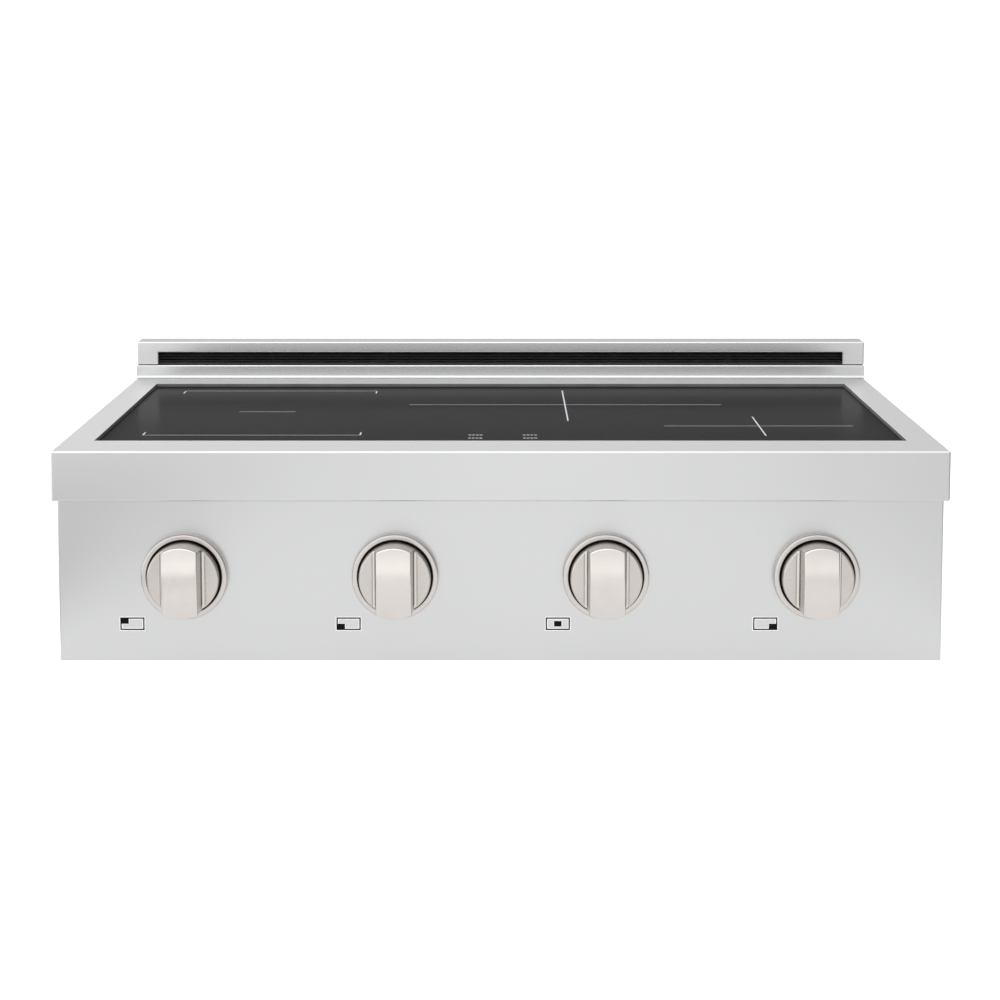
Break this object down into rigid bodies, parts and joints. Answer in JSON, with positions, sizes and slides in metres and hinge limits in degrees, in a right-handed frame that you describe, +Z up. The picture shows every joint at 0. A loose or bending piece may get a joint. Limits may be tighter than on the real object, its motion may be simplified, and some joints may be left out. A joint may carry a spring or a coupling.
{
  "type": "induction rangetop",
  "caption": "Wide stainless steel slide-in induction cooktop with a black glass surface set in a folded surround, front rotary knobs in bezels and a low rear vent.",
  "frame": {"origin": "centre of the bottom of the bounding box, on the underside of the base pan", "axes": "+X to the right as the user stands at the front, +Y towards the rear wall, +Z up"},
  "size_m": [0.912, 0.702, 0.27],
  "materials": {
    "steel": "satin brushed stainless steel",
    "galvanised": "zinc-coated sheet",
    "nickel": "satin warm nickel plating",
    "shaft_steel": "turned steel",
    "aluminium": "mill finish",
    "copper": "lacquered litz wire",
    "glass_black": "gloss black ceramic glass",
    "rubber": "matt",
    "black_steel": "satin black paint",
    "black_plastic": "moulded, matt",
    "ferrite": "matt moulding with ferrite bars",
    "board": "solder-masked laminate",
    "ceramic": "matt ceramic"
  },
  "bodies": {
    "casing": {"top_frame": "steel", "front_panel": "steel", "left_side_panel": "steel", "right_side_panel": "steel", "backguard_riser": "steel", "backguard_cover": "steel", "rear_panel": "galvanised", "base_pan": "galvanised", "selector_rail": "galvanised", "exhaust_duct": "galvanised", "terminal_cover": "galvanised", "glass_top": "glass_black", "glass_gasket": "rubber", "vent_grille": "black_steel", "bezel_1": "nickel", "selector_1": "black_plastic", "tray_screw_1": "shaft_steel", "bezel_2": "nickel", "selector_2": "black_plastic", "tray_screw_2": "shaft_steel", "bezel_3": "nickel", "selector_3": "black_plastic", "tray_screw_3": "shaft_steel", "bezel_4": "nickel", "selector_4": "black_plastic", "tray_screw_4": "shaft_steel", "coil_tray": "aluminium", "coil_carrier_front_left": "ferrite", "coil_front_left": "copper", "zone_sensor_front_left": "ceramic", "coil_carrier_rear_left": "ferrite", "coil_rear_left": "copper", "zone_sensor_rear_left": "ceramic", "coil_carrier_centre": "ferrite", "coil_centre": "copper", "zone_sensor_centre": "ceramic", "coil_carrier_front_right": "ferrite", "coil_front_right": "copper", "zone_sensor_front_right": "ceramic", "display_board": "board", "filter_board": "board", "power_board_left": "board", "heat_sink_left": "aluminium", "fan_housing_left": "black_plastic", "power_board_right": "board", "heat_sink_right": "aluminium", "fan_housing_right": "black_plastic", "terminal_block": "black_plastic", "inlet_gland": "black_plastic"},
    "knob_1": {"knob_1": "nickel", "knob_shaft_1": "shaft_steel"},
    "knob_2": {"knob_2": "nickel", "knob_shaft_2": "shaft_steel"},
    "knob_3": {"knob_3": "nickel", "knob_shaft_3": "shaft_steel"},
    "knob_4": {"knob_4": "nickel", "knob_shaft_4": "shaft_steel"},
    "left_fan": {"fan_rotor_left": "black_plastic"},
    "right_fan": {"fan_rotor_right": "black_plastic"}
  },
  "joints": [
    {"name": "knob_1_turn", "type": "hinge", "parent": "casing", "child": "knob_1", "pos_m": [-0.3255, -0.297, 0.09], "axis": [0, 1, 0], "range_deg": [0, 300]},
    {"name": "knob_2_turn", "type": "hinge", "parent": "casing", "child": "knob_2", "pos_m": [-0.1085, -0.297, 0.09], "axis": [0, 1, 0], "range_deg": [0, 300]},
    {"name": "knob_3_turn", "type": "hinge", "parent": "casing", "child": "knob_3", "pos_m": [0.1085, -0.297, 0.09], "axis": [0, 1, 0], "range_deg": [0, 300]},
    {"name": "knob_4_turn", "type": "hinge", "parent": "casing", "child": "knob_4", "pos_m": [0.3255, -0.297, 0.09], "axis": [0, 1, 0], "range_deg": [0, 300]},
    {"name": "left_fan_spin", "type": "hinge", "parent": "casing", "child": "left_fan", "pos_m": [-0.22, -0.19, 0.015], "axis": [0, 0, 1], "continuous": true},
    {"name": "right_fan_spin", "type": "hinge", "parent": "casing", "child": "right_fan", "pos_m": [0.22, -0.19, 0.015], "axis": [0, 0, 1], "continuous": true}
  ]
}
